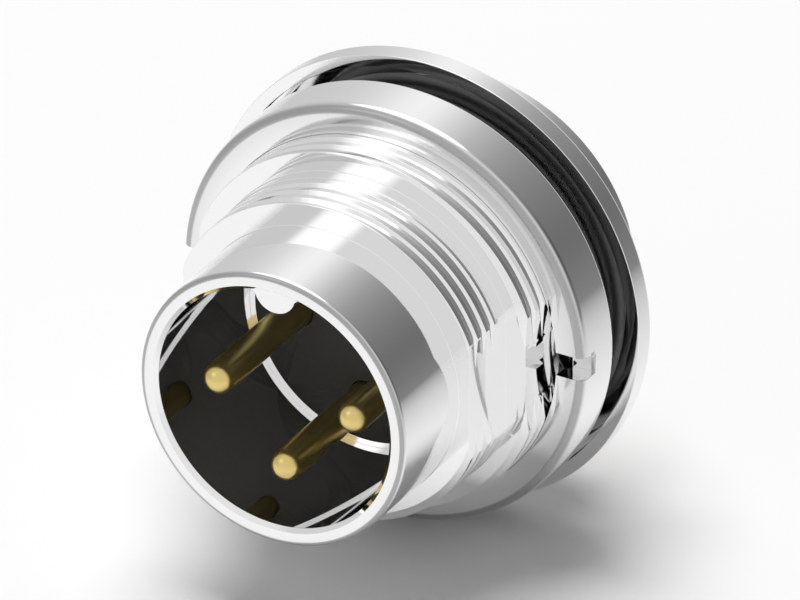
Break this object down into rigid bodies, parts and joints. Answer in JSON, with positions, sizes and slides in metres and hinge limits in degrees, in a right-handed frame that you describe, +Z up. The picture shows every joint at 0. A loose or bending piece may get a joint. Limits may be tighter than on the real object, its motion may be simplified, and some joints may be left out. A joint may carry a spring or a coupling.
{
  "type": "din connector",
  "caption": "Round metal panel connector with contact pins in a keyed shell, two threads, a slotted ring nut and a rubber seal in its flange.",
  "frame": {"origin": "on the connector's axis, in the plane of the flange's sealing face, which is the centre of the panel hole on the panel's back", "axes": "-Y along the axis towards the mating end, +Y towards the solder side, +Z up through the key, +X to the right as seen from the mating end"},
  "size_m": [0.0222, 0.0226, 0.0222],
  "materials": {
    "nickel_plate": "polished",
    "black_moulding": "matte",
    "gold_plate": "polished",
    "seal_rubber": "matte",
    "spring_steel": "satin"
  },
  "bodies": {
    "connector": {"housing": "nickel_plate", "panel_o_ring": "seal_rubber", "front_insert": "black_moulding", "inner_seal": "seal_rubber", "rear_insulator": "black_moulding", "retaining_ring": "spring_steel", "contact_left": "gold_plate", "contact_bottom": "gold_plate", "contact_right": "gold_plate"},
    "ring_nut": {"ring_nut": "nickel_plate"}
  },
  "joints": [
    {"name": "ring_nut_turn", "type": "hinge", "parent": "connector", "child": "ring_nut", "pos_m": [0, -0.00256, 0], "axis": [0, -1, 0], "continuous": true}
  ]
}
